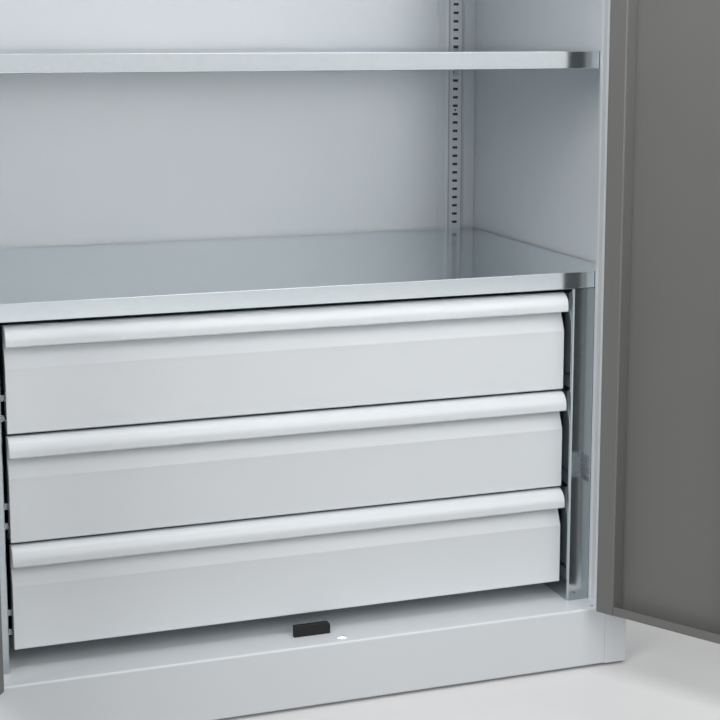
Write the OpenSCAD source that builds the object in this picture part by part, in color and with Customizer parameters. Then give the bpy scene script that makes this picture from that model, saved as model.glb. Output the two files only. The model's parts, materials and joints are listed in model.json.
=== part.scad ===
// Two-door steel cupboard with shelves above a set of three wide drawers.
// X runs to the right, Y to the back and Z up. The origin is on the floor, under the middle of the body.

/* [Cabinet] */
// Width over the side panels
cabinet_w = 1000; // [900:10:1200]
// Depth from the front posts to the rear of the side panels
cabinet_d = 600; // [560:10:700]
// Height from the floor to the top of the roof
cabinet_h = 1950; // [1850:10:2100]
// Thickness of the body's steel sheet
body_t = 1.2; // [0.8:0.1:2]
// Inner radius of an ordinary bend
bend_r = 1; // [0.5:0.1:1.5]
// Width of the front post beside each door
post_w = 37; // [34:1:50]
// Depth of the recess that the closed doors lie in
rabbet_d = 34; // [33:1:40]
// Width of the stop flange at the back of that recess
stop_flange_w = 8; // [6:1:14]
// Depth of the hem behind the stop flange
stop_hem_d = 7; // [5:1:8]
// Height of the plinth front
plinth_h = 90; // [70:1:120]
// Height of the roof's front fascia
fascia_h = 40; // [35:1:70]
// Width of the side panels' return behind the back panel
back_return_w = 25; // [15:1:40]
// Gap between sheets that are welded or stacked
seam_gap = 0.2; // [0.1:0.1:0.4]

/* [Feet] */
// Height of the plinth's lower edge above the floor
foot_h = 4; // [3:1:12]
// Diameter of a foot's disc
foot_disc_d = 28; // [20:1:32]
// Diameter of a foot's threaded stem
foot_stem_d = 10; // [8:1:12]
// Height of the plate that a foot screws into
foot_plate_z = 20; // [15:1:40]
// Thickness of that plate
foot_plate_t = 3; // [2:0.5:5]
// Length of that plate from front to back
foot_plate_l = 60; // [45:1:90]

/* [Slot rails] */
// Distance from one slot to the next
slot_pitch = 15; // [12:1:20]
// Width of a slot
slot_w = 10; // [8:0.5:12]
// Height of a slot
slot_h = 4.5; // [3.5:0.5:6]
// Height of the lowest slot's middle
slot_first_z = 120; // [110:1:135]
// Width of a rail's raised face
rail_face_w = 27; // [22:1:32]
// How far the raised face stands off
rail_rise = 3; // [3:0.5:6]
// Width of the sloping sides beside the raised face
rail_web_w = 4.5; // [4:0.5:6]
// Width of a rear rail's feet
rear_rail_foot_w = 15; // [8:1:18]
// Width of a front rail's feet
front_rail_foot_w = 8; // [6:1:10]
// Distance from the side wall to the middle of a rear rail
rear_rail_x = 40; // [36:1:60]
// Distance from the stop flange to the middle of a front rail
front_rail_y = 51; // [48:1:70]
// Diameter of the fixing holes between the slots
rail_hole_d = 4; // [3:0.5:5]
// Slots from one fixing hole to the next
rail_hole_step = 40; // [20:1:60]

/* [Shelves] */
// Height of a shelf's folded edge
shelf_h = 25; // [20:1:35]
// Thickness of the galvanised sheet
shelf_t = 1.2; // [0.8:0.1:2]
// Radius at a shelf's upper front edge
shelf_edge_r = 0.6; // [0.5:0.1:3]
// Distance from the cabinet's front to a shelf's front edge
shelf_setback = 43; // [42:1:50]
// Width of the lip folded back under a shelf
shelf_lip_w = 14; // [8:1:20]
// Height of the hem on that lip
shelf_hem_h = 8; // [4:1:12]
// Gap between a shelf and the side walls
shelf_side_gap = 1.5; // [1:0.1:3]
// Gap between a shelf and the rails
shelf_rail_gap = 0.8; // [0.5:0.1:1.5]
// Slot that carries the lowest loose shelf, counted from the bottom
shelf_first_slot = 53; // [49:1:55]
// Slots from one shelf to the next
shelf_step = 22; // [16:1:24]
// Height of a shelf's lower edge above the slot that carries it
shelf_seat = 3; // [3:0.5:6]
// Thickness of a shelf clip
clip_t = 2; // [1.5:0.1:2.5]
// Length of a clip's seat under the shelf
clip_seat_l = 18; // [12:1:25]
// Height of a clip's plate
clip_plate_h = 24; // [18:1:35]

/* [Drawers] */
// Distance from the top of one drawer front to the next
drawer_pitch = 151; // [148:1:154]
// Height of a drawer front
front_h = 149; // [140:1:149]
// Gap between the top drawer front and the shelf above it
front_top_gap = 5; // [4:1:8]
// Space between the lowest drawer front and the base
drawer_floor_gap = 28; // [24:1:40]
// Thickness of a drawer front's sheet
front_t = 1.2; // [1:0.1:1.5]
// How far the grip lip stands in front of the shelf edge
lip_proud = 2; // [0:0.5:3]
// Height of the grip lip
lip_h = 29; // [24:1:34]
// Radius over the top of the grip lip
lip_r = 18; // [10:1:18]
// Width of the hem under the grip lip
lip_hem_w = 6; // [4:1:9]
// Distance from the lip's face back to the flat face
flat_back = 13; // [12:1:16]
// Depth of the finger recess behind the flat face
recess_d = 12; // [11:1:14]
// Distance from the top of the front to the upper edge of the flat face
flat_drop = 60; // [56:1:66]
// Height of the sloping face between the recess and the flat face
slope_h = 27; // [20:1:27]
// Depth of the fold along a front's lower edge
front_fold = 14; // [8:1:14]
// Depth of the plates that close a front's ends
end_plate_d = 26; // [22:1:28]
// Height of the gap across an end plate
end_gap_h = 6; // [4:0.5:8]
// Height of that gap above the front's lower edge
end_gap_z = 17; // [12:1:30]
// Gap between a drawer front and the side frames
front_side_gap = 8; // [6:1:10]
// Thickness of a drawer tray's sheet
tray_t = 1; // [0.8:0.1:1.5]
// Depth of a drawer tray
tray_d = 455; // [400:5:465]
// Height of a drawer tray's side and back walls
tray_h = 105; // [80:1:112]
// Height of a drawer tray's front wall, which is welded to the back of the front
tray_front_h = 126; // [120:1:128]
// Height of a tray's floor above the front's lower edge
tray_lift = 8; // [6:1:12]
// Width of the hem along a tray's upper edges
tray_hem = 7; // [4:1:10]

/* [Drawer frames and slides] */
// Distance from a side wall to the inner face of a side frame
frame_x = 78.8; // [60:0.2:90]
// Width of a side frame's front face
frame_face_w = 50; // [45:1:52]
// Inner radius of a side frame's front corner
frame_r = 1.6; // [1:0.2:6]
// Width of the flanges along a side frame
frame_flange_w = 22; // [15:1:28]
// Thickness of a side frame's sheet
frame_t = 1.2; // [1:0.1:2]
// Thickness of a closed slide, from the frame to the tray
slide_w = 12.7; // [12.5:0.1:14]
// Height of a slide
slide_h = 36; // [36:1:44]
// Length of a slide
slide_l = 450; // [400:10:450]
// Thickness of a slide's steel
slide_t = 1.2; // [1:0.1:1.4]
// Running clearance at the rows of balls
slide_clear = 0.3; // [0.2:0.05:0.5]
// Height of the lower edge of a slide above the front's lower edge
slide_lift = 12; // [10:1:20]

/* [Doors] */
// How far both doors stand open
door_open = 121; // [0:1:180]
// Thickness of a door
door_d = 28; // [26:1:28]
// Thickness of a door's sheet
door_t = 1; // [0.8:0.1:1.2]
// Gap at a door's hinged edge
hinge_gap = 4; // [4:0.5:6]
// Gap between the two doors
door_gap = 2; // [2:0.5:4]
// Gap above and below a door
door_end_gap = 4; // [3:0.5:8]
// Width of the box fold along a door's hinged edge
box_fold_w = 29; // [24:1:40]
// Width of the lip along a door's free edge
edge_lip_w = 10; // [6:1:11]
// Height of the lips along a door's upper and lower edges
end_lip_h = 14; // [10:1:25]
// Width of the stiffener's crown in the middle of a door
stiffener_w = 36; // [24:1:60]
// Height of the stiffener
stiffener_h = 18; // [10:1:20]
// Width of the stiffener's feet
stiffener_foot_w = 12; // [8:1:20]
// Thickness of the meeting strip behind the doors
strip_d = 8.7; // [8:0.1:8.7]
// Reach of the meeting strip behind the right door
strip_reach = 16; // [12:1:20]
// Width of the meeting strip's foot on the left door
strip_foot_w = 27; // [15:1:40]

/* [Hinges] */
// Height of a hinge
hinge_h = 40; // [38:1:80]
// Outer radius of a hinge knuckle
knuckle_r = 3.5; // [3.2:0.1:3.6]
// Radius of a hinge pin
pin_r = 2; // [1.5:0.1:2]
// Running clearance round a pin
pin_clear = 0.05; // [0.02:0.01:0.1]
// Thickness of a hinge leaf
leaf_t = 1.5; // [1:0.1:1.5]
// Width of a hinge leaf inside the gap
leaf_w = 24; // [18:1:25]
// Share of a hinge's height taken by the door's knuckle
door_knuckle_h = 18; // [14:1:20]
// Gap between knuckles
knuckle_gap = 0.5; // [0.3:0.1:1]
// Distance from a door's end to the middle of the nearest hinge
hinge_inset = 195; // [150:5:350]

/* [Lock] */
// Height of the handle
handle_z = 1010; // [900:10:1100]
// Distance from the cabinet's middle to the handle's axis
lock_x = 35; // [35:1:40]
// Radius of the cam's two pins
cam_r = 14; // [13:0.5:14]
// Diameter of a cam pin
cam_pin_d = 6; // [5:0.5:6]
// Clearance of a cam pin in its slot
cam_pin_clear = 0.5; // [0.5:0.05:0.7]
// Thickness of the cam disc
cam_t = 4; // [3:0.5:4]
// Diameter of the handle's spindle
spindle_d = 10; // [8:0.5:12]
// Distance from the door's face back to the middle of the lock rods
rod_y = 17; // [17:0.5:18]
// Width of a lock rod
rod_w = 12; // [8:0.5:12]
// Thickness of a lock rod
rod_t = 4; // [3:0.5:4]
// Clearance of a lock rod in its guides
rod_clear = 0.4; // [0.3:0.05:0.6]
// Width of the slots that the lock rods enter
rod_slot_w = 15; // [14:0.5:16]
// Depth of those slots
rod_slot_d = 14; // [5:0.5:14]
// Height of the lock case
case_h = 90; // [80:1:120]
// Distance of a rod guide from the handle
guide_z = 450; // [300:10:600]
// Height of a rod guide
guide_h = 20; // [12:1:40]
// Width of a rod guide's feet
guide_foot_w = 7; // [5:1:8]
// Length of the handle's lever
lever_l = 112; // [90:1:130]
// Width of the lever
lever_w = 18; // [14:1:24]
// Thickness of the lever
lever_t = 12; // [8:1:16]
// Diameter of the handle's round hub
hub_d = 28; // [22:1:34]
// Height of the lever's face above the door
handle_d = 34; // [28:1:45]
// Diameter of the round plate under the handle
rosette_d = 44; // [36:1:50]
// Thickness of that plate
rosette_t = 6; // [4:0.5:8]

/* [Stop block and small holes] */
// Width of the stop block
block_w = 55; // [40:1:70]
// Height of the stop block
block_h = 17.4; // [14:0.2:20]
// Depth of the stop block
block_d = 14; // [10:1:20]
// Distance of the stop block's middle from the cabinet's middle
block_x = 8.5; // [0:0.5:10]
// Radius of the stop block's rounded corner
block_r = 7.5; // [3:0.5:8]
// Diameter of the small hole near each end of the ledge
ledge_hole_d = 6; // [3:0.5:8]
// Distance of that hole from the post
ledge_hole_x = 17; // [12:1:30]
// Distance of that hole behind the plinth's face
ledge_hole_y = 12; // [8:1:20]
// Diameter of the drain holes in the doors' folds
drain_d = 4; // [3:0.5:5]

/* [Hidden] */
$fn = 48;
drawer_numbers = [1, 2, 3];
shelf_numbers = [1, 2, 3];
sides = ["left", "right"];

body_grey = [0.80, 0.81, 0.82];
door_grey = [0.40, 0.40, 0.39];
zinc = [0.68, 0.72, 0.75];
steel = [0.60, 0.61, 0.62];
black = [0.08, 0.08, 0.09];

// Main planes of the body
front_y = -cabinet_d / 2;
back_y = cabinet_d / 2;
side_x = cabinet_w / 2;
wall_x = side_x - body_t;
post_x = side_x - post_w;
stop_x = post_x - stop_flange_w;
stop_y = front_y + rabbet_d;
ledge_z = foot_h + plinth_h;
roof_z = cabinet_h - body_t;
fascia_z = cabinet_h - fascia_h;
back_face_y = back_y - 2 * body_t;

// Small sizes that stay as they are: hidden flanges, hole cuts, notches at corners and slack beside folds
fold_edge = 25;
past = 1;
hole_reach = 5;
corner_relief = 2;
corner_gap = 0.5;
ledge_r = 1.6;

// Slot rails
rail_half_w = rail_face_w / 2 + rail_web_w;
rail_front = rail_rise + body_t;
rail_bottom_z = ledge_z + seam_gap;
rail_top_z = fascia_z - seam_gap;
slot_count = floor((rail_top_z - slot_h - slot_first_z) / slot_pitch) + 1;
rail_cy = stop_y + front_rail_y;
rail_hole_first = 6;

// Shelves
shelf_front_y = front_y + shelf_setback;
shelf_back_y = back_face_y - rail_front - shelf_rail_gap;
shelf_x = wall_x - shelf_side_gap;
drawer_top_z = ledge_z + drawer_floor_gap + front_h + (len(drawer_numbers) - 1) * drawer_pitch;
cover_shelf_z = drawer_top_z + front_top_gap + shelf_h;
function slot_z(i) = slot_first_z + i * slot_pitch;
function shelf_slot(i) = shelf_first_slot - 1 + (i - 1) * shelf_step;
function shelf_z(i) = slot_z(shelf_slot(i)) + shelf_seat + shelf_h;

// Drawers, counted from the top
frame_face_x = wall_x - frame_x;
front_x = frame_face_x - front_side_gap;
lip_y = shelf_front_y - lip_proud;
flat_y = lip_y + flat_back;
recess_y = flat_y + recess_d;
tray_x = frame_face_x - slide_w;
tray_front_y = recess_y + front_t + seam_gap;
slide_front_y = flat_y + end_plate_d + corner_relief;
recess_r = 3;
slope_r = 2;
function front_z(i) = ledge_z + drawer_floor_gap + (len(drawer_numbers) - i) * drawer_pitch;
function slide_z(i) = front_z(i) + slide_lift + slide_h / 2;

// Doors, hinges and lock, measured with the right door shut
door_x = post_x - hinge_gap;
door_edge_x = door_gap / 2;
door_back_y = front_y + door_d;
door_bottom_z = ledge_z + door_end_gap;
door_top_z = fascia_z - door_end_gap;
hinge_x = post_x - hinge_gap / 2;
hinge_y = front_y - knuckle_r;
hinge_heights = [door_bottom_z + hinge_inset, (door_bottom_z + door_top_z) / 2, door_top_z - hinge_inset];
stiffener_x = (door_edge_x + door_x) / 2;
rod_offset = cam_r * (1 + cos(45)) / 2;
rod_stroke = 2 * cam_r * sin(45);
rod_mid_y = front_y + rod_y;
lower_rod_x = lock_x + rod_offset;
upper_rod_x = lock_x - rod_offset;
cam_gap = 4;
cam_back_y = rod_mid_y - rod_t / 2 - cam_gap;
yoke_slot_l = cam_r * (1 - cos(45)) + cam_pin_d + 2 * cam_pin_clear;
yoke_wall = 2.8;
yoke_w = yoke_slot_l + 2 * yoke_wall;
yoke_h = cam_pin_d + 2 * cam_pin_clear + 2 * yoke_wall + 3 * past;
case_t = 1.2;
case_gap = 1;
case_inset = 2;
case_x = rod_offset + yoke_w / 2 + case_gap;
case_back_y = door_back_y - case_inset;
bearing_d = 6;
rod_tip_l = 6;
rod_tip_w = 6;

// Folded sheet: an outline runs along one face, and the sheet lies to its left if the thickness is positive
function xy(p) = [p[0], p[1]];
function bend_radius(p) = len(p) > 2 ? p[2] : bend_r;
function unit(v) = v / norm(v);
function left_of(v) = [-v[1], v[0]];
function turned(v, a) = [v[0] * cos(a) - v[1] * sin(a), v[0] * sin(a) + v[1] * cos(a)];
function bend_steps(r) = max(3, ceil(r));

function bend_stations(a, b, c, r, t) =
    let (u = unit(b - a),
         v = unit(c - b),
         turn = atan2(u[0] * v[1] - u[1] * v[0], u * v),
         face_r = r + (turn * t > 0 ? abs(t) : 0),
         start = b - u * face_r * tan(abs(turn) / 2),
         centre = start + left_of(u) * sign(turn) * face_r)
    [for (k = [0:bend_steps(r)])
        let (n = turned(left_of(u), turn * k / bend_steps(r)))
        [centre - n * sign(turn) * face_r, n]];

function fold_stations(p, t) = [
    for (i = [0:len(p) - 1])
        each i == 0 ? [[xy(p[0]), left_of(unit(xy(p[1]) - xy(p[0])))]]
            : i == len(p) - 1 ? [[xy(p[i]), left_of(unit(xy(p[i]) - xy(p[i - 1])))]]
            : bend_stations(xy(p[i - 1]), xy(p[i]), xy(p[i + 1]), bend_radius(p[i]), t)
];

module folded(points, t) {
    s = fold_stations(points, t);
    far_side = [for (i = [len(s) - 1:-1:0]) s[i][0] + s[i][1] * t];
    polygon(concat([for (p = s) p[0]], far_side));
}

// A plan outline drawn up in Z, a side outline drawn along X and a front outline drawn along Y
module upright(z, h) translate([0, 0, z]) linear_extrude(h) children();
module along_x(x, l) translate([x, 0, 0]) rotate([90, 0, 90]) linear_extrude(l) children();
module along_y(y, l) translate([0, y + l, 0]) rotate([90, 0, 0]) linear_extrude(l) children();
module box(low, high) translate(low) cube(high - low);

// A round bar along Y
module bar_y(x, z, d, y_from, y_to)
    translate([x, y_to, z]) rotate([90, 0, 0]) cylinder(d = d, h = y_to - y_from);

// An oval hole through a level sheet
module oval_cut(x, y, z, w, d)
    translate([x, y, z - hole_reach]) linear_extrude(2 * hole_reach) {
        square([w - d, d], center = true);
        for (s = [-1, 1]) translate([s * (w - d) / 2, 0]) circle(d = d);
    }

module on_side(side) mirror([side == "left" ? 1 : 0, 0, 0]) children();
module both_sides() for (s = sides) on_side(s) children();

// The right door turned open about its hinge line
module door_swing()
    translate([hinge_x, hinge_y, 0]) rotate(door_open) translate([-hinge_x, -hinge_y, 0]) children();

// Side wall, front post, door recess and stop flange folded from one sheet
module side_panel(side) color(body_grey) on_side(side) difference() {
    upright(foot_h, roof_z - foot_h)
        folded([[stop_x, stop_y + stop_hem_d], [stop_x, stop_y], [post_x, stop_y], [post_x, front_y],
                [side_x, front_y], [side_x, back_y], [side_x - back_return_w, back_y]], body_t);
    flange_low = [stop_x - past, stop_y - past, 0];
    flange_high = [post_x, stop_y + stop_hem_d + past, cabinet_h];
    box(flange_low, [flange_high[0], flange_high[1], ledge_z]);
    box([flange_low[0], flange_low[1], fascia_z - stop_flange_w - seam_gap], flange_high);
}

module back_panel() color(body_grey)
    box([-wall_x + bend_r, back_face_y, foot_h], [wall_x - bend_r, back_face_y + body_t, roof_z]);

// Flat top sheet with the front fascia, the recess over the doors and a stop flange
module roof() color(body_grey) difference() {
    union() {
        box([-side_x, front_y, roof_z], [side_x, back_y, cabinet_h]);
        along_x(-post_x + seam_gap, 2 * (post_x - seam_gap))
            folded([[front_y, cabinet_h], [front_y, fascia_z], [stop_y, fascia_z],
                    [stop_y, fascia_z - stop_flange_w]], body_t);
    }
    oval_cut(upper_rod_x, rod_mid_y, fascia_z, rod_slot_w, rod_slot_d);
}

// Floor, ledge and plinth front folded from one sheet, with flanges down along the sides and the back
module base() color(body_grey) difference() {
    union() {
        along_x(-post_x + seam_gap, 2 * (post_x - seam_gap))
            folded([[back_face_y - seam_gap, ledge_z - fold_edge], [back_face_y - seam_gap, ledge_z],
                    [front_y, ledge_z, ledge_r], [front_y, foot_h], [front_y + fold_edge, foot_h]], body_t);
        along_y(stop_y + stop_hem_d, back_face_y - seam_gap - stop_y - stop_hem_d)
            folded([[-wall_x + seam_gap, ledge_z - fold_edge], [-wall_x + seam_gap, ledge_z],
                    [wall_x - seam_gap, ledge_z], [wall_x - seam_gap, ledge_z - fold_edge]], -body_t);
    }
    oval_cut(lower_rod_x, rod_mid_y, ledge_z, rod_slot_w, rod_slot_d);
    both_sides() translate([post_x - ledge_hole_x, front_y + ledge_hole_y, ledge_z - hole_reach])
        cylinder(d = ledge_hole_d, h = 2 * hole_reach);
}

// Where the four feet stand
foot_x = (post_x + side_x) / 2;
foot_y = back_y - body_t - foot_plate_l / 2;
foot_nut_h = 8;
foot_nut_wall = 3.5;
foot_stem_over = 12;
foot_nut_d = foot_stem_d + 2 * foot_nut_wall;
foot_stem_h = foot_plate_z + foot_plate_t + foot_stem_over;
module each_corner() for (m = [0, 1]) mirror([0, m, 0]) both_sides() children();

module foot_plates() color(body_grey) each_corner() difference() {
    box([post_x + body_t + seam_gap, back_face_y - seam_gap - foot_plate_l, foot_plate_z],
        [wall_x - seam_gap, back_face_y - seam_gap, foot_plate_z + foot_plate_t]);
    translate([foot_x, foot_y, foot_plate_z - past])
        cylinder(d = foot_stem_d + 2 * pin_clear, h = foot_plate_t + 2 * past);
}

module feet() color(black) each_corner() translate([foot_x, foot_y, 0]) {
    cylinder(d = foot_disc_d, h = foot_h - seam_gap);
    cylinder(d = foot_stem_d, h = foot_stem_h);
    translate([0, 0, foot_plate_z - foot_nut_h]) cylinder(d = foot_nut_d, h = foot_nut_h, $fn = 6);
}

// Raised rail with a column of slots, drawn with its back at Y = 0 and its face towards -Y
module slot_rail(foot_w) difference() {
    upright(rail_bottom_z, rail_top_z - rail_bottom_z)
        folded([[-rail_half_w - foot_w, 0], [-rail_half_w, 0], [-rail_face_w / 2, -rail_rise],
                [rail_face_w / 2, -rail_rise], [rail_half_w, 0], [rail_half_w + foot_w, 0]], -body_t);
    for (i = [0:slot_count - 1])
        box([-slot_w / 2, -rail_front - past, slot_z(i) - slot_h / 2],
            [slot_w / 2, -rail_rise + past, slot_z(i) + slot_h / 2]);
    for (i = [rail_hole_first:rail_hole_step:slot_count - 2])
        bar_y(0, slot_z(i) + slot_pitch / 2, rail_hole_d, -rail_front - past, -rail_rise + past);
}

module at_rear_rail(side) on_side(side) translate([wall_x - rear_rail_x, back_face_y, 0]) children();
module at_front_rail(side) on_side(side) translate([wall_x, rail_cy, 0]) rotate(-90) children();
module rear_slot_rail(side) color(body_grey) at_rear_rail(side) slot_rail(rear_rail_foot_w);
module front_slot_rail(side) color(body_grey) at_front_rail(side) slot_rail(front_rail_foot_w);

// Shelf folded down on all four sides, cut out round the front rails
module shelf_at(z) color(zinc) difference() {
    low = z - shelf_h;
    front_lip = shelf_front_y + shelf_lip_w;
    back_lip = shelf_back_y - shelf_lip_w;
    rail_cut = rail_half_w + front_rail_foot_w + shelf_rail_gap;
    union() {
        along_x(-shelf_x, 2 * shelf_x)
            folded([[front_lip, low + shelf_hem_h], [front_lip, low], [shelf_front_y, low],
                    [shelf_front_y, z, shelf_edge_r], [shelf_back_y, z], [shelf_back_y, low],
                    [back_lip, low], [back_lip, low + shelf_hem_h]], -shelf_t);
        along_y(front_lip + corner_relief, back_lip - front_lip - 2 * corner_relief)
            folded([[-shelf_x, low], [-shelf_x, z], [shelf_x, z], [shelf_x, low]], -shelf_t);
    }
    both_sides() box([wall_x - rail_front - shelf_rail_gap, rail_cy - rail_cut, low - past],
                     [wall_x, rail_cy + rail_cut, z + past]);
}
module cover_shelf() shelf_at(cover_shelf_z);
module shelf(i) shelf_at(shelf_z(i));

// Clip with a tongue in a slot and a seat under the shelf, drawn against a rail as slot_rail is
module clip(z) {
    face = -rail_front;
    tongue = face + body_t + clip_t;
    tongue_half = slot_h / 2 - seam_gap;
    seat = z + shelf_seat;
    along_x(-slot_w / 2 + past, slot_w - 2 * past)
        polygon([[tongue, z - tongue_half], [tongue, z + tongue_half], [face, z + tongue_half], [face, seat],
                 [face - clip_seat_l, seat], [face - clip_seat_l, seat - clip_t],
                 [face - clip_t, seat - clip_t], [face - clip_t, seat - clip_plate_h],
                 [face, seat - clip_plate_h], [face, z - tongue_half]]);
}
module shelf_clips(i) color(zinc) for (s = sides) {
    at_rear_rail(s) clip(slot_z(shelf_slot(i)));
    at_front_rail(s) clip(slot_z(shelf_slot(i)));
}

// Galvanised upright and side plate that carry the drawers and the cover shelf
module drawer_frame(side) color(zinc) on_side(side) {
    top = cover_shelf_z - shelf_h;
    back = shelf_back_y - 2 * corner_relief;
    face = frame_face_x;
    outer = face + frame_face_w;
    hem = shelf_front_y + frame_flange_w;
    upright(ledge_z, top - ledge_z)
        folded([[face + frame_flange_w, back], [face, back], [face, shelf_front_y, frame_r],
                [outer, shelf_front_y], [outer, hem]], frame_t);
    for (z = [ledge_z, top - frame_t])
        box([face + frame_t / 2, hem + corner_relief, z],
            [face + frame_flange_w, back - corner_relief, z + frame_t]);
}

// Slide members in section: across from the frame to the tray, and up from the slide's middle
ball_row_h = 3;
member_gap = 1;
ball_h = slide_h / 2 - slide_t;
middle_h = ball_h - ball_row_h;
inner_h = middle_h - slide_t - ball_row_h / 2 - slide_clear;
middle_web = slide_t + member_gap;
ball_from = middle_web + slide_t + member_gap;
flange_end = slide_w - slide_t - 2 * member_gap;
ball_to = flange_end - member_gap;
module slide_bar(i, low, high)
    along_y(slide_front_y, slide_l) both_halves(slide_z(i)) translate([frame_face_x - high[0], low[1]])
        square([high[0] - low[0], high[1] - low[1]]);
module both_halves(z) translate([0, z]) for (m = [0, 1]) mirror([0, m]) children();

module fixed_rails(i) color(zinc) both_sides() {
    slide_bar(i, [0, 0], [slide_t, slide_h / 2]);
    slide_bar(i, [0, ball_h], [flange_end, slide_h / 2]);
}
// The bars between the members stand for the two rows of balls in their cages
module middle_rails(i) color(steel) both_sides() {
    slide_bar(i, [middle_web, 0], [middle_web + slide_t, middle_h]);
    slide_bar(i, [middle_web, middle_h - slide_t], [flange_end, middle_h]);
    slide_bar(i, [ball_from, middle_h - slide_t], [ball_to, ball_h - slide_clear]);
    slide_bar(i, [ball_from, inner_h + slide_clear], [ball_to, middle_h]);
}
module drawer_rails(i) color(zinc) both_sides() {
    slide_bar(i, [slide_w - slide_t, 0], [slide_w, inner_h]);
    slide_bar(i, [ball_from, inner_h - slide_t], [slide_w, inner_h]);
}

// Open tray: floor and sides folded from one sheet, with a front and a back wall between them
module drawer_tray(i) color(zinc) {
    low = front_z(i) + tray_lift;
    high = low + tray_h;
    along_y(tray_front_y, tray_d)
        folded([[-tray_x + tray_hem, high], [-tray_x, high], [-tray_x, low], [tray_x, low],
                [tray_x, high], [tray_x - tray_hem, high]], tray_t);
    for (wall = [[tray_front_y, tray_front_h], [tray_front_y + tray_d - tray_t, tray_h]])
        box([-tray_x + tray_t / 2, wall[0], low + tray_t / 2],
            [tray_x - tray_t / 2, wall[0] + tray_t, low + wall[1] - tray_t / 2]);
}

// Front panel with its hollow grip lip, finger recess, slope and flat face folded from one sheet,
// closed by a plate at each end
module drawer_front(i) color(body_grey) {
    low = front_z(i);
    high = low + front_h;
    flat_z = high - flat_drop;
    recess_back = recess_y + front_t;
    flat_back_y = flat_y + front_t;
    along_x(-front_x, 2 * front_x)
        folded([[lip_y + lip_hem_w, high - lip_h], [lip_y, high - lip_h], [lip_y, high, lip_r],
                [recess_back, high, recess_r], [recess_back, flat_z + slope_h, recess_r],
                [flat_back_y, flat_z, slope_r],
                [flat_back_y, low + front_t], [flat_y + front_fold, low + front_t]], -front_t);
    flat_mid = flat_y + front_t / 2;
    recess_mid = recess_y + front_t / 2;
    low_mid = low + front_t / 2;
    plate_back = flat_y + end_plate_d;
    plate_top = high - 2 * recess_r;
    both_sides() along_x(front_x - front_t, front_t) difference() {
        polygon([[flat_mid, low_mid], [plate_back, low_mid], [plate_back, plate_top], [recess_mid, plate_top],
                 [recess_mid, flat_z + slope_h], [flat_mid, flat_z]]);
        translate([flat_back_y + past, low + end_gap_z]) square([end_plate_d, end_gap_h]);
    }
}

// Door: face, box fold at the hinge, lip at the free edge and lips at the ends
module door(side) color(door_grey) on_side(side) door_swing() difference() {
    leg_x = door_x - box_fold_w;
    lip_x = door_edge_x + edge_lip_w;
    lip_hem_y = door_back_y - 5 * past;
    union() {
        upright(door_bottom_z, door_top_z - door_bottom_z)
            folded([[leg_x, front_y + door_t + seam_gap], [leg_x, door_back_y], [door_x, door_back_y],
                    [door_x, front_y], [door_edge_x, front_y], [door_edge_x, door_back_y],
                    [lip_x, door_back_y], [lip_x, lip_hem_y]], -door_t);
        along_x(lip_x + corner_gap, leg_x - lip_x - 2 * corner_gap)
            for (up = [1, -1]) translate([0, up > 0 ? door_bottom_z : door_top_z])
                folded([[front_y, up * fold_edge], [front_y, 0], [door_back_y, 0],
                        [door_back_y, up * end_lip_h]], up * door_t);
    }
    translate([leg_x - past, (front_y + door_back_y) / 2, door_bottom_z + end_lip_h])
        rotate([0, 90, 0]) cylinder(d = drain_d, h = door_t + 2 * past);
    if (side == "right") {
        bar_y(lock_x, handle_z, spindle_d + 2 * pin_clear, front_y - past, front_y + door_t + past);
        oval_cut(lower_rod_x, rod_mid_y, door_bottom_z, rod_slot_w, rod_slot_d);
        oval_cut(upper_rod_x, rod_mid_y, door_top_z, rod_slot_w, rod_slot_d);
    }
}

// Hat-shaped stiffener down the middle of a door
module door_stiffener(side) color(door_grey) on_side(side) door_swing() {
    inside = front_y + door_t;
    crown = stiffener_w / 2;
    foot = crown + 2 * corner_relief;
    end_gap = fold_edge + corner_relief;
    upright(door_bottom_z + end_gap, door_top_z - door_bottom_z - 2 * end_gap)
        translate([stiffener_x, inside])
            folded([[-foot - stiffener_foot_w, 0], [-foot, 0], [-crown, stiffener_h - door_t],
                    [crown, stiffener_h - door_t], [foot, 0], [foot + stiffener_foot_w, 0]], door_t);
}

// Hinge knuckle with its bore, about the hinge line
module knuckle(z, h) translate([hinge_x, hinge_y, z]) difference() {
    cylinder(r = knuckle_r, h = h);
    translate([0, 0, -past]) cylinder(r = pin_r + pin_clear, h = h + 2 * past);
}
body_knuckle_h = (hinge_h - door_knuckle_h) / 2 - knuckle_gap;
leaf_root = hinge_y + pin_r + pin_clear + seam_gap;
pin_head_h = 2;

module hinge_body_leaves(side) color(steel) on_side(side) for (z = hinge_heights) {
    box([post_x - leaf_t, front_y + corner_gap, z - hinge_h / 2],
        [post_x, front_y + leaf_w, z + hinge_h / 2]);
    for (low = [z - hinge_h / 2, z + hinge_h / 2 - body_knuckle_h]) {
        knuckle(low, body_knuckle_h);
        box([post_x - leaf_t, leaf_root, low], [post_x, front_y + past, low + body_knuckle_h]);
    }
}
module hinge_door_leaves(side) color(steel) on_side(side) door_swing() for (z = hinge_heights) {
    low = z - door_knuckle_h / 2;
    box([door_x, front_y + corner_gap, z - hinge_h / 2],
        [door_x + leaf_t, front_y + leaf_w, z + hinge_h / 2]);
    knuckle(low, door_knuckle_h);
    box([door_x, leaf_root, low], [door_x + leaf_t, front_y + past, low + door_knuckle_h]);
}
module hinge_pins(side) color(steel) on_side(side) for (z = hinge_heights)
    translate([hinge_x, hinge_y, z - hinge_h / 2]) {
        cylinder(r = pin_r, h = hinge_h);
        translate([0, 0, hinge_h]) cylinder(r = knuckle_r, h = pin_head_h);
    }

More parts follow.
